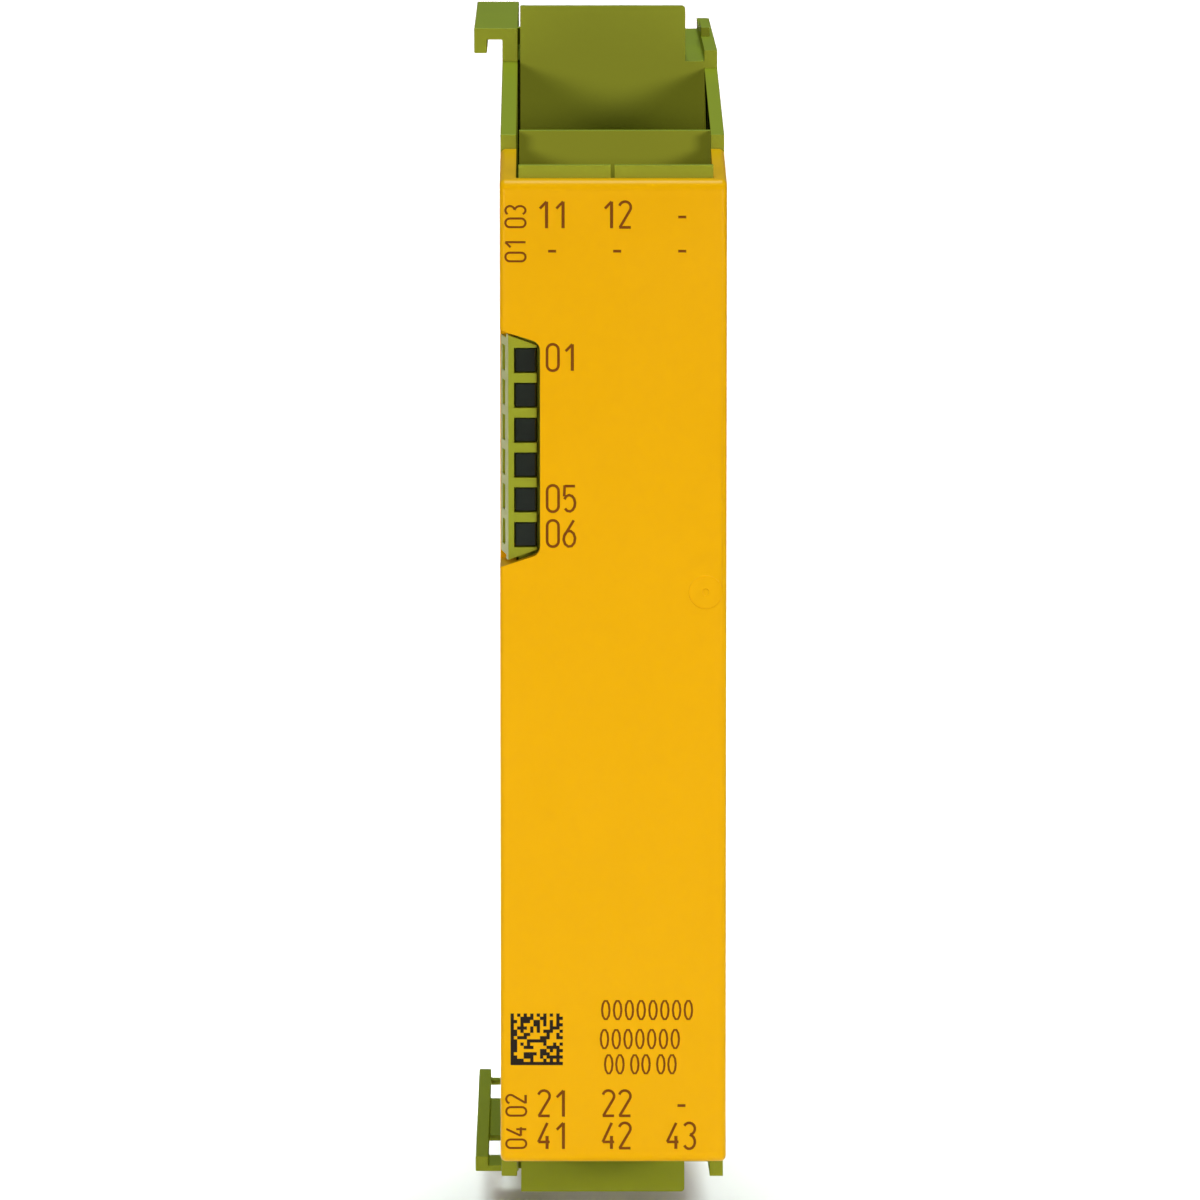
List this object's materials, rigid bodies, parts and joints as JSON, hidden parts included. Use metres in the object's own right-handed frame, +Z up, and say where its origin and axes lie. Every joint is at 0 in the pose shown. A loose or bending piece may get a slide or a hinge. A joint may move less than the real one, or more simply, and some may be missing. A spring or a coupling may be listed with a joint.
{
  "type": "safety relay module",
  "caption": "Slim rail-mounted output relay module with a yellow front cap, open plug sockets above and below, side hook rails and a sprung rail latch.",
  "frame": {"origin": "centre of the seat that lies on the mounting rail's front, at mid height and mid width of the module", "axes": "+X to the viewer's right, +Y from the front face to the rail, +Z up"},
  "size_m": [0.0198, 0.12, 0.0998],
  "materials": {
    "housing": "fine-textured olive green moulding",
    "cap": "smooth satin yellow moulding",
    "smoked_lens": "smoked clear moulding",
    "led_package": "white package",
    "circuit_board": "green solder mask",
    "relay_case": "black sealed case",
    "header_plastic": "dark moulding",
    "contact": "tinned brass",
    "link_contact": "gold-plated brass",
    "chip_case": "black epoxy",
    "capacitor_can": "drawn can",
    "ferrite": "dull ferrite",
    "suppressor_disc": "dipped blue disc",
    "fuse_case": "white ceramic",
    "latch_plastic": "black moulding",
    "spring_steel": "bright spring wire"
  },
  "bodies": {
    "module": {"main_housing": "housing", "side_cover": "housing", "front_cap": "cap", "status_lenses": "smoked_lens", "status_leds": "led_package", "main_board": "circuit_board", "link_board": "circuit_board", "relay_1": "relay_case", "relay_2": "relay_case", "controller_1": "chip_case", "controller_2": "chip_case", "optocouplers": "chip_case", "capacitor_1": "capacitor_can", "capacitor_2": "capacitor_can", "converter_inductor": "ferrite", "surge_suppressors": "suppressor_disc", "supply_fuse": "fuse_case", "link_header_left": "header_plastic", "link_header_right": "header_plastic", "link_pins": "link_contact", "latch_spring": "spring_steel", "socket_header_1": "header_plastic", "header_pins_1": "contact", "socket_header_2": "header_plastic", "header_pins_2": "contact", "socket_header_3": "header_plastic", "header_pins_3": "contact", "socket_header_4": "header_plastic", "header_pins_4": "contact"},
    "latch": {"rail_latch": "latch_plastic"}
  },
  "joints": [
    {"name": "latch_slide", "type": "slide", "parent": "module", "child": "latch", "axis": [0, 0, -1], "range_m": [0, 0.003], "stiffness_N_per_m": 300, "springref_m": -0.01, "deforming": ["latch_spring"]}
  ]
}
